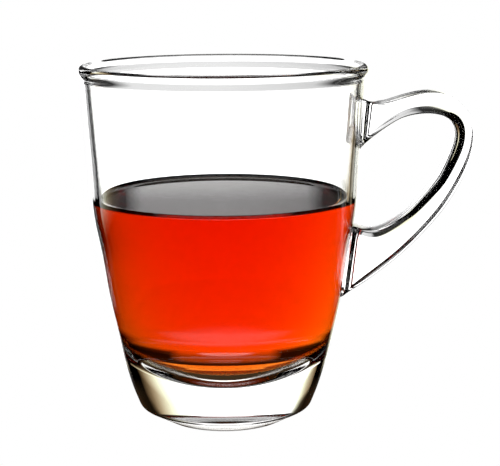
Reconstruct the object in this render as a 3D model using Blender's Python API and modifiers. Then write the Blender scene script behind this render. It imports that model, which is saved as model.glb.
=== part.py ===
"""Glass mug of black tea: a pressed glass mug with a fused ear handle, and the tea in it.

Metres, +Z up. The origin is the centre of the foot, on the surface the mug stands on.
The handle points along +X.
"""

import math

import bmesh
import bpy
import numpy as np

OBJECT_NAME = "glass_mug_of_tea"

# Driving dimensions of the turned body
RIM_HEIGHT = 0.1025
BEAD_OUTER_RADIUS = 0.0410
BEAD_HALF_HEIGHT = 0.00175
HEEL_RADIUS = 0.0249
HEEL_HEIGHT = 0.0040
FOOT_RADIUS = 0.0174
FLOOR_HEIGHT = 0.0134
FLOOR_RADIUS = 0.0010
BOWL_TOP = 0.0300
WALL_AT_RIM = 0.0019
WALL_AT_BOWL = 0.0038

# Radius of the outer wall at a few heights, from the heel to the bead
WALL_HEIGHTS = (HEEL_HEIGHT, 0.0105, 0.0175, 0.0255, 0.0375, 0.0495, 0.0575, 0.0635, 0.0715, 0.0835, 0.0990)
WALL_RADII = (HEEL_RADIUS, 0.0274, 0.0295, 0.0314, 0.0339, 0.0358, 0.0373, 0.0380, 0.0384, 0.0391, 0.0400)

# Tea
TEA_LEVEL = 0.0642
TEA_GAP = 0.0003
MENISCUS_HEIGHT = 0.0011
MENISCUS_WIDTH = 0.0032

# Handle: outer and inner points in the plane y = 0, from the upper root round to the lower one
HANDLE_STATIONS = (
    ((0.0383, 0.0934), (0.0373, 0.0775)),
    ((0.0435, 0.0914), (0.0410, 0.0808)),
    ((0.0485, 0.0923), (0.0450, 0.0838)),
    ((0.0535, 0.0937), (0.0500, 0.0868)),
    ((0.0590, 0.0944), (0.0557, 0.0882)),
    ((0.0643, 0.0931), (0.0605, 0.0880)),
    ((0.0683, 0.0897), (0.0638, 0.0865)),
    ((0.0707, 0.0855), (0.0653, 0.0837)),
    ((0.0711, 0.0800), (0.0651, 0.0800)),
    ((0.0696, 0.0745), (0.0636, 0.0757)),
    ((0.0668, 0.0684), (0.0611, 0.0705)),
    ((0.0624, 0.0613), (0.0579, 0.0661)),
    ((0.0566, 0.0544), (0.0531, 0.0607)),
    ((0.0505, 0.0484), (0.0486, 0.0573)),
    ((0.0445, 0.0435), (0.0440, 0.0551)),
    ((0.0385, 0.0393), (0.0396, 0.0553)),
    ((0.0316, 0.0354), (0.0350, 0.0573)),
)
HANDLE_DEPTH = 0.0110
HANDLE_EDGE_RADIUS = 0.0020

# Fineness of the faceted surfaces
SEGMENTS = 72
WALL_STEPS = 15
BOWL_STEPS = 7
BEAD_STEPS = 8
HANDLE_STEPS = 2
EDGE_STEPS = 2


def clear_scene():
    for obj in list(bpy.data.objects):
        bpy.data.objects.remove(obj, do_unlink=True)


def make_collection(name, hidden=False):
    collection = bpy.data.collections.new(name)
    bpy.context.scene.collection.children.link(collection)
    collection.hide_render = hidden
    return collection


def make_material(name, colour, roughness, transmission, ior):
    material = bpy.data.materials.new(name)
    material.use_nodes = True
    shader = material.node_tree.nodes["Principled BSDF"]
    shader.inputs["Base Color"].default_value = (*colour, 1.0)
    shader.inputs["Roughness"].default_value = roughness
    shader.inputs["Metallic"].default_value = 0.0
    shader.inputs["Transmission Weight"].default_value = transmission
    shader.inputs["IOR"].default_value = ior
    return material


def smooth_path(points, steps):
    """Points on a Catmull-Rom curve through the given ones, with the given steps between two."""
    given = np.array(points, dtype=float)
    before = 2.0 * given[0] - given[1]
    after = 2.0 * given[-1] - given[-2]
    padded = np.vstack([before, given, after])
    path = []
    for index in range(len(given) - 1):
        a, b, c, d = padded[index:index + 4]
        for t in np.linspace(0.0, 1.0, steps, endpoint=False):
            cubic = -a + 3.0 * b - 3.0 * c + d
            square = 2.0 * a - 5.0 * b + 4.0 * c - d
            path.append(0.5 * (2.0 * b + (c - a) * t + square * t ** 2 + cubic * t ** 3))
    path.append(given[-1])
    return [tuple(point) for point in path]


def outer_wall():
    """The outer wall from under the bead down to the heel, as (radius, height)."""
    knots = list(zip(WALL_RADII, WALL_HEIGHTS))
    dense = np.array(smooth_path(knots, 8))
    heights = np.linspace(WALL_HEIGHTS[-1], WALL_HEIGHTS[0], WALL_STEPS)
    radii = np.interp(heights, dense[:, 1], dense[:, 0])
    return list(zip(radii, heights))


def inner_wall(inset=0.0):
    """The inside from the middle of the floor up to the rim, moved inwards by inset.

    The floor is flat out to FLOOR_RADIUS, then an elliptical corner rises to the wall.
    """
    bowl_radius = float(np.interp(BOWL_TOP, WALL_HEIGHTS, WALL_RADII)) - WALL_AT_BOWL
    corner_width = bowl_radius - inset - FLOOR_RADIUS
    corner_height = BOWL_TOP - FLOOR_HEIGHT - inset
    profile = [(0.0, FLOOR_HEIGHT + inset)]
    for index in range(BOWL_STEPS):
        angle = 0.5 * math.pi * index / BOWL_STEPS
        radius = FLOOR_RADIUS + corner_width * math.sin(angle)
        profile.append((radius, BOWL_TOP - corner_height * math.cos(angle)))
    top_of_wall = WALL_HEIGHTS[-1]
    for radius, height in reversed(outer_wall()):
        if height < BOWL_TOP:
            continue
        share = (height - BOWL_TOP) / (top_of_wall - BOWL_TOP)
        thickness = WALL_AT_BOWL + (WALL_AT_RIM - WALL_AT_BOWL) * share ** 0.6
        profile.append((radius - thickness - inset, height))
    return profile


def rim_bead():
    """The rounded bead, from the inner wall over the top to the outer wall."""
    inner_radius = WALL_RADII[-1] - WALL_AT_RIM
    middle_radius = 0.5 * (inner_radius + BEAD_OUTER_RADIUS)
    half_width = BEAD_OUTER_RADIUS - middle_radius
    centre_height = RIM_HEIGHT - BEAD_HALF_HEIGHT
    profile = []
    for index in range(BEAD_STEPS + 1):
        angle = math.radians(180.0) - math.radians(240.0) * index / BEAD_STEPS
        radius = middle_radius + half_width * math.cos(angle)
        profile.append((radius, centre_height + BEAD_HALF_HEIGHT * math.sin(angle)))
    return profile


def foot():
    """From the end of the heel's bevel across the flat foot to the axis."""
    return [(FOOT_RADIUS, 0.0), (0.5 * FOOT_RADIUS, 0.0), (0.0, 0.0)]


def turn(name, profile, material, collection):
    """A solid of revolution about Z. The profile runs down its outer side."""
    mesh = bpy.data.meshes.new(name)
    points = [(radius, 0.0, height) for radius, height in profile]
    edges = [(index, index + 1) for index in range(len(points) - 1)]
    mesh.from_pydata(points, edges, [])
    obj = bpy.data.objects.new(name, mesh)
    collection.objects.link(obj)
    screw = obj.modifiers.new("turned", "SCREW")
    screw.steps = SEGMENTS
    screw.render_steps = SEGMENTS
    screw.use_merge_vertices = True
    screw.merge_threshold = 0.00001
    screw.use_smooth_shade = True
    mesh.materials.append(material)
    return obj


def handle_section(out_point, in_point):
    """One rounded section of the handle, from its outer and inner point in the plane y = 0."""
    middle = 0.5 * (out_point + in_point)
    half = 0.5 * (out_point - in_point)
    half_thickness = float(np.linalg.norm(half))
    direction = half / half_thickness
    edge = min(HANDLE_EDGE_RADIUS, 0.9 * half_thickness)
    half_depth = 0.5 * HANDLE_DEPTH
    section = []
    for across, deep, start in ((1, 1, 0), (-1, 1, 90), (-1, -1, 180), (1, -1, 270)):
        for step in range(EDGE_STEPS + 1):
            angle = math.radians(start + 90.0 * step / EDGE_STEPS)
            along = across * (half_thickness - edge) + edge * math.cos(angle)
            depth = deep * (half_depth - edge) + edge * math.sin(angle)
            point = middle + direction * along
            section.append((point[0], depth, point[1]))
    return section


def make_handle(collection):
    """The ear handle: a loft of rounded sections, its two roots sunk into the wall."""
    outer = smooth_path([station[0] for station in HANDLE_STATIONS], HANDLE_STEPS)
    inner = smooth_path([station[1] for station in HANDLE_STATIONS], HANDLE_STEPS)
    shape = bmesh.new()
    rings = []
    for out_point, in_point in zip(outer, inner):
        section = handle_section(np.array(out_point), np.array(in_point))
        rings.append([shape.verts.new(point) for point in section])
    for first, second in zip(rings, rings[1:]):
        for index in range(len(first)):
            after = (index + 1) % len(first)
            shape.faces.new((first[index], second[index], second[after], first[after]))
    shape.faces.new(rings[0])
    shape.faces.new(list(reversed(rings[-1])))
    bmesh.ops.recalc_face_normals(shape, faces=shape.faces)
    mesh = bpy.data.meshes.new("handle")
    shape.to_mesh(mesh)
    shape.free()
    mesh.shade_smooth()
    mesh.set_sharp_from_angle(angle=math.radians(40.0))
    handle = bpy.data.objects.new("handle", mesh)
    collection.objects.link(handle)
    handle.hide_render = True
    handle.display_type = "WIRE"
    return handle


def make_mug(collection, cutters, glass):
    """The turned body with the handle fused on: one solid of glass."""
    profile = inner_wall() + rim_bead() + outer_wall() + foot()
    mug = turn("glass_mug", profile, glass, collection)
    join = mug.modifiers.new("fused_handle", "BOOLEAN")
    join.operation = "UNION"
    join.solver = "EXACT"
    join.object = make_handle(cutters)
    return mug


def make_tea(collection, brew):
    """The tea: it fills the inside up to its level and climbs a little at the wall."""
    inside = np.array(inner_wall(TEA_GAP))
    contact_height = TEA_LEVEL + MENISCUS_HEIGHT
    contact_radius = float(np.interp(contact_height, inside[:, 1], inside[:, 0]))
    surface = [
        (0.0, TEA_LEVEL),
        (contact_radius - MENISCUS_WIDTH, TEA_LEVEL),
        (contact_radius - 0.35 * MENISCUS_WIDTH, TEA_LEVEL + 0.22 * MENISCUS_HEIGHT),
        (contact_radius, contact_height),
    ]
    below = [(radius, height) for radius, height in inside if height < TEA_LEVEL]
    return turn("tea", surface + list(reversed(below)), brew, collection)


def main():
    clear_scene()
    parts = make_collection(OBJECT_NAME)
    cutters = make_collection("cutters", hidden=True)
    glass = make_material("clear_glass", (1.0, 1.0, 1.0), 0.0, 1.0, 1.5)
    brew = make_material("black_tea", (0.80, 0.08, 0.005), 0.0, 0.8, 1.33)
    make_mug(parts, cutters, glass)
    make_tea(parts, brew)


main()
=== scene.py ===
"""The looks of the glass mug of tea: pressed glass, brewed tea, and the studio that lights them.

Metres, +Z up, in the frame of the CAD. The camera looks along +Y, and the handle points along +X.
"""

import math

import bmesh
import bpy
import numpy as np
from mathutils import Matrix


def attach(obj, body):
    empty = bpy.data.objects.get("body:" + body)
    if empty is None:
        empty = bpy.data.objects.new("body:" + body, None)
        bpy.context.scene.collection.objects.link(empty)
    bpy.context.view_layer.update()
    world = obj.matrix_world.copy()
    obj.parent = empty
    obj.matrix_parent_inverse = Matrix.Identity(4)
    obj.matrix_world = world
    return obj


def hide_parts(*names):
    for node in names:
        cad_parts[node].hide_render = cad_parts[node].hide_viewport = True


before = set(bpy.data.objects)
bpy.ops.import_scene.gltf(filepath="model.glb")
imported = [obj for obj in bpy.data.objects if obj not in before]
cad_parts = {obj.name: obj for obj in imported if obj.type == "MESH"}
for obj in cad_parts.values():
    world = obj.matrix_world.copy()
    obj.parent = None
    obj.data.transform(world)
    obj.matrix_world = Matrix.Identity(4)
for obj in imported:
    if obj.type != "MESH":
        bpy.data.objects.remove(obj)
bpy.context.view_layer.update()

# Turned body
RIM_HEIGHT = 0.1025
BEAD_OUTER_RADIUS = 0.0410
BEAD_HALF_HEIGHT = 0.00175
BEAD_START = 174.0
BEAD_FADE = 0.0029
BELOW_BEAD = 0.0005
FOOT_RADIUS = 0.0174
HEEL_RADIUS = 0.0249
HEEL_HEIGHT = 0.0040
HEEL_ROUNDING_ABOVE = 0.0009
HEEL_ROUNDING_BELOW = 0.0007
WALL_HEIGHTS = (HEEL_HEIGHT, 0.0105, 0.0175, 0.0255, 0.0375, 0.0495, 0.0575, 0.0635, 0.0715, 0.0835, 0.1000)
WALL_RADII = (HEEL_RADIUS, 0.0274, 0.0295, 0.0314, 0.0339, 0.0358, 0.0373, 0.0380, 0.0384, 0.0391, 0.0400)
FLOOR_HEIGHT = 0.0134
FLOOR_RADIUS = 0.0010
BOWL_TOP = 0.0300
WALL_AT_RIM = 0.0019
WALL_AT_BOWL = 0.0038
WALL_TAPER = 0.6

# Tea, whose side reaches a hair into the glass so that light meets one boundary there
TEA_CONTACT = 0.06535
TEA_OVERLAP = 0.00004

# Meniscus: the ends of its curve in lengths from the wall, and the top of the side in heights
MENISCUS_HEIGHT = 0.0011
MENISCUS_LENGTH = 0.0009
MENISCUS_FARTHEST = 9.0
MENISCUS_NEAREST = 0.04
TEA_SIDE_START = 0.3

# Handle: outer and inner points in the plane y = 0, from the upper root round to the lower one
HANDLE_STATIONS = (
    ((0.0383, 0.0934), (0.0373, 0.0775)),
    ((0.0435, 0.0914), (0.0410, 0.0808)),
    ((0.0485, 0.0923), (0.0450, 0.0838)),
    ((0.0535, 0.0937), (0.0500, 0.0868)),
    ((0.0590, 0.0944), (0.0557, 0.0882)),
    ((0.0643, 0.0931), (0.0605, 0.0880)),
    ((0.0683, 0.0897), (0.0638, 0.0865)),
    ((0.0707, 0.0855), (0.0653, 0.0837)),
    ((0.0710, 0.0800), (0.0651, 0.0800)),
    ((0.0696, 0.0745), (0.0636, 0.0757)),
    ((0.0668, 0.0684), (0.0611, 0.0705)),
    ((0.0624, 0.0613), (0.0579, 0.0661)),
    ((0.0566, 0.0544), (0.0531, 0.0607)),
    ((0.0505, 0.0484), (0.0486, 0.0573)),
    ((0.0445, 0.0435), (0.0440, 0.0551)),
    ((0.0385, 0.0393), (0.0396, 0.0553)),
    ((0.0316, 0.0354), (0.0350, 0.0573)),
)
HANDLE_DEPTH = 0.0110
HANDLE_OUTER_EDGE = 0.0010
HANDLE_INNER_EDGE = 0.0027
LARGEST_EDGE_SHARE = 0.98
ROOT_FLARE = 0.0020
ROOT_FLARE_LENGTH = 0.0016

# Fineness of the meshes
SEGMENTS = 288
BOWL_STEPS = 40
INNER_WALL_STEPS = 60
BEAD_STEPS = 40
BEAD_FADE_STEPS = 25
OUTER_WALL_STEPS = 70
HEEL_STEPS = 10
MENISCUS_STEPS = 30
HANDLE_STEPS = 16
EDGE_STEPS = 13
SHARP_ANGLE = 30.0

# Glass and tea
GLASS_IOR = 1.5
TEA_IOR = 1.333
TEA_COLOUR = (0.938, 0.60, 0.0, 1.0)
TEA_DENSITY = 195.0

# Camera, fitted to the rim, the tea line and the foot
CAMERA_DISTANCE = 0.440
CAMERA_HEIGHT = 0.13589
CAMERA_PITCH = 0.18439
CAMERA_YAW = 0.01668
CAMERA_ROLL = -0.00488
FOCAL_PIXELS = 1554.3
IMAGE_WIDTH = 500
SENSOR_WIDTH = 36.0
NEAREST_SEEN = 0.01

# Studio: a polished floor, a bright field round it, and a black strip on each side behind the mug
FLOOR_GAP = 0.0003
FIELD_DISTANCE = 0.390
FIELD_HEIGHT = 0.300
FIELD_STEP = 3.0
STRIP_DISTANCE = 0.095
STRIP_EDGES = ((-0.0825, -0.1500), (0.0845, 0.1180))
STRIP_HEIGHT = 0.1300

# Floor: how much it mirrors, and a painted contact shadow round the foot that the camera itself doesn't
# see, as radii and a level
FLOOR_MIRROR = 0.97
PAINTED_SHADOW_FULL = 0.0360
PAINTED_SHADOW_END = 0.0460
PAINTED_SHADOW_LEVEL = 0.02

# Field: its brightest radiance, and the slope and least value of green's and blue's share of it
FIELD_WHITE = 2.4
GREEN_SHARE = (0.36, 0.60)
BLUE_SHARE = (0.42, 0.26)

# Field: its level at each height, and a higher window of light straight behind the mug
FIELD_LEVELS = ((0.0, 1.0), (0.10, 1.0), (0.12, 0.08), (0.14, 0.02), (0.30, 0.01))
WINDOW_LEVELS = ((0.0, 0.0), (0.10, 1.0), (0.13, 0.36), (0.26, 0.36), (0.30, 0.01))
WINDOW_FULL = 9.5
WINDOW_END = 13.5

# Field: the azimuths at which half the light is left, at two heights, and the falloff in those units
HALF_HEIGHTS = (0.02, 0.07)
LEFT_HALF = (58.0, 38.0)
RIGHT_HALF = (33.5, 23.0)
LEFT_SIDE = (
    (0.0, 1.0),
    (0.60, 1.0),
    (0.75, 0.90),
    (0.90, 0.72),
    (1.0, 0.50),
    (1.1, 0.30),
    (1.25, 0.12),
    (1.5, 0.0),
)
RIGHT_SIDE = (
    (0.0, 1.0),
    (0.25, 0.90),
    (0.56, 0.74),
    (0.80, 0.60),
    (1.0, 0.49),
    (1.2, 0.34),
    (1.4, 0.20),
    (1.6, 0.09),
    (1.9, 0.0),
)

# Light beside the mug, from these azimuths on, and overhead, from these heights of the direction on
BESIDE_FROM = 62.0
BESIDE_FULL = 72.0
OVERHEAD_FROM = 0.70
OVERHEAD_FULL = 0.80
OVERHEAD_LEVEL = 0.80

# Limits on how often light has crossed a surface or been mirrored, set between whole numbers
TWO_CROSSINGS = 1.5
FIVE_CROSSINGS = 4.5
ONE_MIRRORING = 0.5

# Nothing turned has a smaller radius, apart from a point on the axis
SMALLEST_RADIUS = 1e-6

WHITE = (1.0, 1.0, 1.0, 1.0)
BLACK = (0.0, 0.0, 0.0, 1.0)
PAST_THE_FIELD = (0.02, 0.02, 0.022, 1.0)


def link(obj):
    bpy.context.scene.collection.objects.link(obj)
    return obj


def natural_spline(xs, ys, at):
    """A natural cubic spline through (xs, ys), read at the given places."""
    xs = np.array(xs, dtype=float)
    ys = np.array(ys, dtype=float)
    steps = np.diff(xs)
    slopes = np.diff(ys) / steps
    size = len(xs)
    matrix = np.eye(size)
    right = np.zeros(size)
    for i in range(1, size - 1):
        matrix[i, i - 1] = steps[i - 1]
        matrix[i, i] = 2.0 * (steps[i - 1] + steps[i])
        matrix[i, i + 1] = steps[i]
        right[i] = 6.0 * (slopes[i] - slopes[i - 1])
    bend = np.linalg.solve(matrix, right)
    at = np.clip(np.atleast_1d(at), xs[0], xs[-1])
    span = np.clip(np.searchsorted(xs, at) - 1, 0, size - 2)
    width = steps[span]
    u = (xs[span + 1] - at) / width
    v = (at - xs[span]) / width
    line = u * ys[span] + v * ys[span + 1]
    curve = ((u ** 3 - u) * bend[span] + (v ** 3 - v) * bend[span + 1]) * width ** 2 / 6.0
    return line + curve


def outer_radii(heights):
    """Radii of the outside, without the bead."""
    return natural_spline(WALL_HEIGHTS, WALL_RADII, heights)


def inner_radii(heights):
    """Radii of the inside: the wall's, rounded in below BOWL_TOP to the flat floor."""
    heights = np.atleast_1d(heights)
    share = np.clip((heights - BOWL_TOP) / (WALL_HEIGHTS[-1] - BOWL_TOP), 0.0, 1.0)
    thickness = WALL_AT_BOWL + (WALL_AT_RIM - WALL_AT_BOWL) * share ** WALL_TAPER
    depth = np.clip((BOWL_TOP - heights) / (BOWL_TOP - FLOOR_HEIGHT), 0.0, 1.0)
    wall = outer_radii(heights) - thickness
    return FLOOR_RADIUS + (wall - FLOOR_RADIUS) * np.sqrt(1.0 - depth ** 2)


def outer_radius(height):
    return float(outer_radii(height)[0])


def inner_radius(height):
    return float(inner_radii(height)[0])


def inner_profile():
    """The inside from the middle of the floor up to the rim, as (radius, height)."""
    angles = np.linspace(0.0, 0.5 * math.pi, BOWL_STEPS, endpoint=False)
    bowl = BOWL_TOP - (BOWL_TOP - FLOOR_HEIGHT) * np.cos(angles)
    wall = np.linspace(BOWL_TOP, RIM_HEIGHT - BEAD_HALF_HEIGHT, INNER_WALL_STEPS)
    heights = np.concatenate([bowl, wall])
    floor = [(0.0, FLOOR_HEIGHT), (0.5 * FLOOR_RADIUS, FLOOR_HEIGHT)]
    return floor + list(zip(inner_radii(heights), heights))


def bead_profile():
    """The rim, from the inside over the rounded top to a bead that fades into the outer wall."""
    centre_height = RIM_HEIGHT - BEAD_HALF_HEIGHT
    inside = inner_radius(centre_height)
    middle = 0.5 * (inside + BEAD_OUTER_RADIUS)
    half = 0.5 * (BEAD_OUTER_RADIUS - inside)
    profile = []
    for angle in np.radians(np.linspace(BEAD_START, 0.0, BEAD_STEPS)):
        height = centre_height + BEAD_HALF_HEIGHT * math.sin(angle)
        profile.append((middle + half * math.cos(angle), height))
    for share in np.linspace(0.0, 1.0, BEAD_FADE_STEPS)[1:]:
        height = centre_height - BEAD_FADE * share
        wall = outer_radius(height)
        bulge = 0.5 * (1.0 + math.cos(math.pi * share))
        profile.append((wall + (BEAD_OUTER_RADIUS - wall) * bulge, height))
    return profile


def outer_profile(top):
    """The outer wall from the given height down to the heel."""
    heights = np.linspace(top, HEEL_HEIGHT + HEEL_ROUNDING_ABOVE, OUTER_WALL_STEPS)
    return [(outer_radius(height), height) for height in heights]


def foot_profile():
    """The rounded heel, the wide bevel below it and the flat foot."""
    heel = np.array([HEEL_RADIUS, HEEL_HEIGHT])
    top = HEEL_HEIGHT + HEEL_ROUNDING_ABOVE
    above = np.array([outer_radius(top), top])
    bevel = np.array([FOOT_RADIUS, 0.0]) - heel
    below = heel + bevel * HEEL_ROUNDING_BELOW / np.linalg.norm(bevel)
    profile = []
    for share in np.linspace(0.0, 1.0, HEEL_STEPS)[1:]:
        point = (1.0 - share) ** 2 * above + 2.0 * share * (1.0 - share) * heel + share ** 2 * below
        profile.append((float(point[0]), float(point[1])))
    return profile + [(FOOT_RADIUS, 0.0), (0.5 * FOOT_RADIUS, 0.0), (0.0, 0.0)]


def body_profile():
    """The whole section of the turned body, from the middle of its floor to that of its foot."""
    profile = inner_profile() + bead_profile()
    end_of_bead = profile[-1][1]
    return profile + outer_profile(end_of_bead - BELOW_BEAD) + foot_profile()


def smooth_object(name, shape):
    """An object made of the given shape, with its normals outwards and smooth shading."""
    bmesh.ops.recalc_face_normals(shape, faces=shape.faces)
    for face in shape.faces:
        face.smooth = True
    mesh = bpy.data.meshes.new(name)
    shape.to_mesh(mesh)
    shape.free()
    return link(bpy.data.objects.new(name, mesh))


def turn(name, profile):
    """A closed solid of revolution about Z. The profile starts and ends on the axis."""
    shape = bmesh.new()
    rings = []
    angles = [2.0 * math.pi * step / SEGMENTS for step in range(SEGMENTS)]
    for radius, height in profile:
        if radius < SMALLEST_RADIUS:
            rings.append([shape.verts.new((0.0, 0.0, height))])
            continue
        ring = [shape.verts.new((radius * math.cos(a), radius * math.sin(a), height)) for a in angles]
        rings.append(ring)
    for upper, lower in zip(rings, rings[1:]):
        for step in range(SEGMENTS):
            after = (step + 1) % SEGMENTS
            if len(upper) == 1:
                shape.faces.new((upper[0], lower[step], lower[after]))
            elif len(lower) == 1:
                shape.faces.new((upper[step], lower[0], upper[after]))
            else:
                shape.faces.new((upper[step], lower[step], lower[after], upper[after]))
    return smooth_object(name, shape)


def handle_section(half_thickness, half_depth):
    """A rounded rectangle as (across, deep) points, no rounder than its thickness allows.

    Across is positive on the outer side.
    """
    corners = (
        (1.0, 1.0, HANDLE_OUTER_EDGE, 0.0),
        (-1.0, 1.0, HANDLE_INNER_EDGE, 90.0),
        (-1.0, -1.0, HANDLE_INNER_EDGE, 180.0),
        (1.0, -1.0, HANDLE_OUTER_EDGE, 270.0),
    )
    points = []
    for across, deep, edge, start in corners:
        edge = min(edge, LARGEST_EDGE_SHARE * half_thickness)
        centre_across = across * (half_thickness - edge)
        centre_deep = deep * (half_depth - edge)
        for angle in np.radians(np.linspace(start, start + 90.0, EDGE_STEPS)):
            points.append((centre_across + edge * math.cos(angle), centre_deep + edge * math.sin(angle)))
    return points


def glass_handle():
    """The ear handle: a loft of rounded sections that flares at its roots and ends in the wall."""
    stations = np.array(HANDLE_STATIONS)
    knots = np.arange(len(stations))
    fine = np.linspace(0.0, knots[-1], HANDLE_STEPS * knots[-1] + 1)
    outer = np.stack([natural_spline(knots, stations[:, 0, axis], fine) for axis in (0, 1)], axis=1)
    inner = np.stack([natural_spline(knots, stations[:, 1, axis], fine) for axis in (0, 1)], axis=1)
    shape = bmesh.new()
    sections = []
    for out_point, in_point in zip(outer, inner):
        middle = 0.5 * (out_point + in_point)
        half = 0.5 * (out_point - in_point)
        half_thickness = float(np.linalg.norm(half))
        direction = half / half_thickness
        away = max(0.0, middle[0] - outer_radius(middle[1]))
        half_depth = 0.5 * HANDLE_DEPTH + ROOT_FLARE * math.exp(-away / ROOT_FLARE_LENGTH)
        section = []
        for across, deep in handle_section(half_thickness, half_depth):
            point = middle + direction * across
            section.append(shape.verts.new((point[0], deep, point[1])))
        sections.append(section)
    count = len(sections[0])
    for first, second in zip(sections, sections[1:]):
        for step in range(count):
            after = (step + 1) % count
            shape.faces.new((first[step], second[step], second[after], first[after]))
    shape.faces.new(sections[0])
    shape.faces.new(list(reversed(sections[-1])))
    return smooth_object("handle", shape)


def make_mug():
    """The turned body with the handle fused on, as one mesh."""
    mug = turn("pressed_glass", body_profile())
    handle = glass_handle()
    join = mug.modifiers.new("fused", "BOOLEAN")
    join.operation = "UNION"
    join.solver = "EXACT"
    join.object = handle
    depsgraph = bpy.context.evaluated_depsgraph_get()
    fused = bpy.data.meshes.new_from_object(mug.evaluated_get(depsgraph))
    mug.modifiers.clear()
    mug.data = fused
    bpy.data.objects.remove(handle, do_unlink=True)
    fused.set_sharp_from_angle(angle=math.radians(SHARP_ANGLE))
    return mug


def make_tea():
    """The tea: its side lies just inside the glass, its top climbs the wall in a meniscus."""
    contact_radius = inner_radius(TEA_CONTACT) + TEA_OVERLAP
    level = TEA_CONTACT - MENISCUS_HEIGHT
    farthest = MENISCUS_FARTHEST * MENISCUS_LENGTH
    nearest = MENISCUS_NEAREST * MENISCUS_LENGTH
    top = [(0.0, level)]
    for away in np.geomspace(farthest, nearest, MENISCUS_STEPS):
        climb = MENISCUS_HEIGHT * math.exp(-away / MENISCUS_LENGTH)
        top.append((contact_radius - away, level + climb))
    top.append((contact_radius, TEA_CONTACT))
    side = []
    for radius, height in reversed(inner_profile()):
        if height < level + TEA_SIDE_START * MENISCUS_HEIGHT:
            outset = TEA_OVERLAP if radius > SMALLEST_RADIUS else 0.0
            side.append((radius + outset, height - TEA_OVERLAP))
    return turn("brewed_tea", top + side)


def clear_material(name, ior):
    """A smooth clear material with the given index of refraction."""
    material = bpy.data.materials.new(name)
    material.use_nodes = True
    shader = material.node_tree.nodes["Principled BSDF"]
    shader.inputs["Base Color"].default_value = WHITE
    shader.inputs["Roughness"].default_value = 0.0
    shader.inputs["IOR"].default_value = ior
    shader.inputs["Transmission Weight"].default_value = 1.0
    return material


def tea_material():
    """Clear, and redder with every millimetre that light passes through."""
    material = clear_material("brewed_black_tea", TEA_IOR)
    tree = material.node_tree
    body = tree.nodes.new("ShaderNodeVolumeAbsorption")
    body.inputs["Color"].default_value = TEA_COLOUR
    body.inputs["Density"].default_value = TEA_DENSITY
    tree.links.new(body.outputs["Volume"], tree.nodes["Material Output"].inputs["Volume"])
    return material


class Nodes:
    """Short ways to add and join the shader nodes of one tree."""

    def __init__(self, tree, light_node):
        self.tree = tree
        self.light_node = light_node
        self.path = tree.nodes.new("ShaderNodeLightPath")

    def put(self, value, socket):
        if isinstance(value, (int, float, tuple)):
            socket.default_value = value
        else:
            self.tree.links.new(value, socket)

    def math(self, operation, *values):
        node = self.tree.nodes.new("ShaderNodeMath")
        node.operation = operation
        for value, socket in zip(values, node.inputs):
            self.put(value, socket)
        return node.outputs[0]

    def between(self, value, low, high, low_value, high_value):
        """Linear from low_value to high_value as value goes from low to high, held outside."""
        node = self.tree.nodes.new("ShaderNodeMapRange")
        for entry, socket in zip((value, low, high, low_value, high_value), node.inputs):
            self.put(entry, socket)
        return node.outputs[0]

    def levels(self, value, pairs):
        """Linear between the given (value, level) pairs. No level is above 1."""
        low = pairs[0][0]
        high = pairs[-1][0]
        node = self.tree.nodes.new("ShaderNodeValToRGB")
        elements = node.color_ramp.elements
        elements[0].color = (*[pairs[0][1]] * 3, 1.0)
        elements[1].color = (*[pairs[-1][1]] * 3, 1.0)
        for place, level in pairs[1:-1]:
            elements.new((place - low) / (high - low)).color = (*[level] * 3, 1.0)
        self.put(self.between(value, low, high, 0.0, 1.0), node.inputs["Fac"])
        return node.outputs["Color"]

    def colour(self, red, green, blue):
        node = self.tree.nodes.new("ShaderNodeCombineColor")
        for value, socket in zip((red, green, blue), node.inputs):
            self.put(value, socket)
        return node.outputs[0]

    def dimmed(self, colour, level):
        node = self.tree.nodes.new("ShaderNodeVectorMath")
        node.operation = "MULTIPLY"
        self.put(colour, node.inputs[0])
        self.put(self.colour(level, level, level), node.inputs[1])
        return node.outputs[0]

    def glow(self, colour):
        node = self.tree.nodes.new(self.light_node)
        self.put(colour, node.inputs["Color"])
        node.inputs["Strength"].default_value = 1.0
        return node.outputs[0]

    def mix_shader(self, factor, first, second):
        node = self.tree.nodes.new("ShaderNodeMixShader")
        for value, socket in zip((factor, first, second), node.inputs):
            self.put(value, socket)
        return node.outputs[0]

    def split(self, kind):
        """The x, y and z of the point, for kind Object, or of the direction, for Generated."""
        source = self.tree.nodes.new("ShaderNodeTexCoord")
        node = self.tree.nodes.new("ShaderNodeSeparateXYZ")
        self.put(source.outputs[kind], node.inputs[0])
        return node.outputs

    def crossed_glass(self):
        """1 for light that has crossed two surfaces or more."""
        return self.math("GREATER_THAN", self.path.outputs["Transmission Depth"], TWO_CROSSINGS)

    def show(self, output_node, beyond):
        """White to the camera itself, and the given light for what shines through and off glass."""
        output = self.tree.nodes.new(output_node)
        choice = self.mix_shader(self.path.outputs["Is Camera Ray"], beyond, self.glow(WHITE))
        self.put(choice, output.inputs["Surface"])


def warm(nodes, level):
    """The colour of the field at a level: white where it is bright, warmer as it falls off.

    The shares of green and blue grow with the radiance, up to 1.
    """
    radiance = nodes.math("MULTIPLY", level, FIELD_WHITE)
    colour = [radiance]
    for slope, least in (GREEN_SHARE, BLUE_SHARE):
        share = nodes.math("MINIMUM", nodes.math("MULTIPLY_ADD", radiance, slope, least), 1.0)
        colour.append(nodes.math("MULTIPLY", radiance, share))
    return nodes.colour(*colour)


def azimuth_of(nodes, place):
    """Degrees to the right of the direction straight behind the mug."""
    angle = nodes.math("ARCTAN2", place["X"], place["Y"])
    return nodes.math("MULTIPLY", angle, 180.0 / math.pi)


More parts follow.
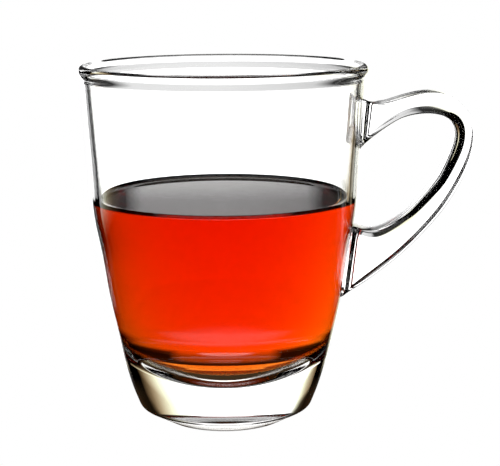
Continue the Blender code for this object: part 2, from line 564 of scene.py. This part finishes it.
def sides(nodes, azimuth, left_half, right_half):
    """How the field falls off to both sides. Half its light is left at the given azimuths."""
    to_left = nodes.math("MULTIPLY", azimuth, -1.0)
    left = nodes.levels(nodes.math("DIVIDE", to_left, left_half), LEFT_SIDE)
    right = nodes.levels(nodes.math("DIVIDE", azimuth, right_half), RIGHT_SIDE)
    return nodes.math("MULTIPLY", left, right)


def beside(nodes, azimuth):
    """1 beside and in front of the mug, for light that has come straight through the glass only.

    So the glass is clear from the other sides too, and mirrors no light from the front.
    """
    around = nodes.between(nodes.math("ABSOLUTE", azimuth), BESIDE_FROM, BESIDE_FULL, 0.0, 1.0)
    straight = nodes.math("LESS_THAN", nodes.path.outputs["Glossy Depth"], ONE_MIRRORING)
    return nodes.math("MULTIPLY", around, nodes.math("MULTIPLY", nodes.crossed_glass(), straight))


def polished_floor(nodes, place):
    """Polished, so it shows the field at a low angle only, and dark round the foot: a painted contact
    shadow.
    """
    shine = nodes.tree.nodes.new("ShaderNodeBsdfGlossy")
    shine.inputs["Color"].default_value = (FLOOR_MIRROR, FLOOR_MIRROR, FLOOR_MIRROR, 1.0)
    shine.inputs["Roughness"].default_value = 0.0
    squares = [nodes.math("MULTIPLY", place[axis], place[axis]) for axis in ("X", "Y")]
    radius = nodes.math("SQRT", nodes.math("ADD", *squares))
    # Painted contact shadow: fully dark inside the first radius, gone by the second
    painted_shadow = nodes.between(radius, PAINTED_SHADOW_FULL, PAINTED_SHADOW_END, 1.0, 0.0)
    open_side = beside(nodes, azimuth_of(nodes, place))
    open_floor = nodes.mix_shader(open_side, shine.outputs[0], nodes.glow(warm(nodes, 1.0)))
    return nodes.mix_shader(painted_shadow, open_floor, nodes.glow(warm(nodes, PAINTED_SHADOW_LEVEL)))


def bright_field(nodes, place):
    """Bright low down, falling off above and to both sides."""
    azimuth = azimuth_of(nodes, place)
    left_half = nodes.between(place["Z"], *HALF_HEIGHTS, *LEFT_HALF)
    right_half = nodes.between(place["Z"], *HALF_HEIGHTS, *RIGHT_HALF)
    behind = sides(nodes, azimuth, left_half, right_half)
    level = nodes.math("MAXIMUM", behind, beside(nodes, azimuth))
    low = nodes.levels(place["Z"], FIELD_LEVELS)
    high = nodes.levels(place["Z"], WINDOW_LEVELS)
    middle = nodes.between(nodes.math("ABSOLUTE", azimuth), WINDOW_FULL, WINDOW_END, 1.0, 0.0)
    height = nodes.math("MAXIMUM", low, nodes.math("MULTIPLY", middle, high))
    return nodes.glow(nodes.dimmed(warm(nodes, level), height))


def stage_material(name, build):
    """White to the camera. What shines through glass and tea is built by the given function."""
    material = bpy.data.materials.new(name)
    material.use_nodes = True
    material.cycles.emission_sampling = "NONE"
    material.node_tree.nodes.clear()
    nodes = Nodes(material.node_tree, "ShaderNodeEmission")
    nodes.show("ShaderNodeOutputMaterial", build(nodes, nodes.split("Object")))
    return material


def black_material(name):
    material = bpy.data.materials.new(name)
    material.use_nodes = True
    shader = material.node_tree.nodes["Principled BSDF"]
    shader.inputs["Base Color"].default_value = BLACK
    shader.inputs["Specular IOR Level"].default_value = 0.0
    return material


def stage_piece(name, corners, faces, material):
    """A piece of the studio, not of the object."""
    mesh = bpy.data.meshes.new(name)
    mesh.from_pydata(corners, [], faces)
    mesh.materials.append(material)
    piece = link(bpy.data.objects.new(name, mesh))
    return piece


def make_floor_and_field():
    """A round floor, and a field that stands round it and that the camera doesn't see."""
    angles = np.radians(np.arange(0.0, 360.0, FIELD_STEP))
    ring = [(FIELD_DISTANCE * math.cos(angle), FIELD_DISTANCE * math.sin(angle)) for angle in angles]
    count = len(ring)
    disc = [(x, y, 0.0) for x, y in ring]
    floor = stage_piece("floor", disc, [tuple(range(count))], stage_material("floor", polished_floor))
    floor.location.z = -FLOOR_GAP

    bottom = [(x, y, -2.0 * FLOOR_GAP) for x, y in ring]
    top = [(x, y, FIELD_HEIGHT) for x, y in ring]
    faces = [(k, (k + 1) % count, count + (k + 1) % count, count + k) for k in range(count)]
    field = stage_piece("field", bottom + top, faces, stage_material("bright_field", bright_field))
    field.visible_camera = False


def make_strips():
    """Two black strips that draw the dark edges of the glass. The camera doesn't see them."""
    black = black_material("black_strip")
    for name, (inner, outer) in zip(("strip_left", "strip_right"), STRIP_EDGES):
        places = ((inner, 0.0), (outer, 0.0), (outer, STRIP_HEIGHT), (inner, STRIP_HEIGHT))
        corners = [(x, STRIP_DISTANCE, z) for x, z in places]
        strip = stage_piece(name, corners, [(0, 1, 2, 3)], black)
        strip.visible_camera = False


def make_world():
    """Dim past the field, with a soft light overhead that keeps the glass clear from above."""
    world = bpy.data.worlds.new("studio")
    bpy.context.scene.world = world
    world.use_nodes = True
    world.node_tree.nodes.clear()
    nodes = Nodes(world.node_tree, "ShaderNodeBackground")
    direction = nodes.split("Generated")
    above = nodes.between(direction["Z"], OVERHEAD_FROM, OVERHEAD_FULL, 0.0, 1.0)
    shallow = nodes.math("LESS_THAN", nodes.path.outputs["Transmission Depth"], FIVE_CROSSINGS)
    overhead = nodes.math("MULTIPLY", above, nodes.math("MULTIPLY", nodes.crossed_glass(), shallow))
    soft = nodes.glow((OVERHEAD_LEVEL, OVERHEAD_LEVEL, OVERHEAD_LEVEL, 1.0))
    nodes.show("ShaderNodeOutputWorld", nodes.mix_shader(overhead, nodes.glow(PAST_THE_FIELD), soft))


def add_camera():
    data = bpy.data.cameras.new("camera")
    data.sensor_width = SENSOR_WIDTH
    data.lens = FOCAL_PIXELS * SENSOR_WIDTH / IMAGE_WIDTH
    data.clip_start = NEAREST_SEEN
    camera = link(bpy.data.objects.new("camera", data))
    place = Matrix.Translation((0.0, -CAMERA_DISTANCE, CAMERA_HEIGHT))
    place @= Matrix.Rotation(-CAMERA_YAW, 4, "Z")
    place @= Matrix.Rotation(0.5 * math.pi - CAMERA_PITCH, 4, "X")
    place @= Matrix.Rotation(CAMERA_ROLL, 4, "Z")
    camera.matrix_world = place
    bpy.context.scene.camera = camera


def set_light_paths():
    """Enough bounces for light that crosses the walls, the tea and the handle."""
    scene = bpy.context.scene
    scene.view_settings.view_transform = "Standard"
    scene.cycles.max_bounces = 32
    scene.cycles.transmission_bounces = 32
    scene.cycles.glossy_bounces = 12
    scene.cycles.transparent_max_bounces = 16
    scene.cycles.caustics_refractive = True
    scene.cycles.caustics_reflective = True


mug = make_mug()
mug.data.materials.clear()
mug.data.materials.append(clear_material("clear_pressed_glass", GLASS_IOR))
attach(mug, "root")
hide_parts("glass_mug")

tea = make_tea()
tea.data.materials.append(tea_material())
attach(tea, "root")
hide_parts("tea")

make_floor_and_field()
make_strips()
make_world()
add_camera()
set_light_paths()
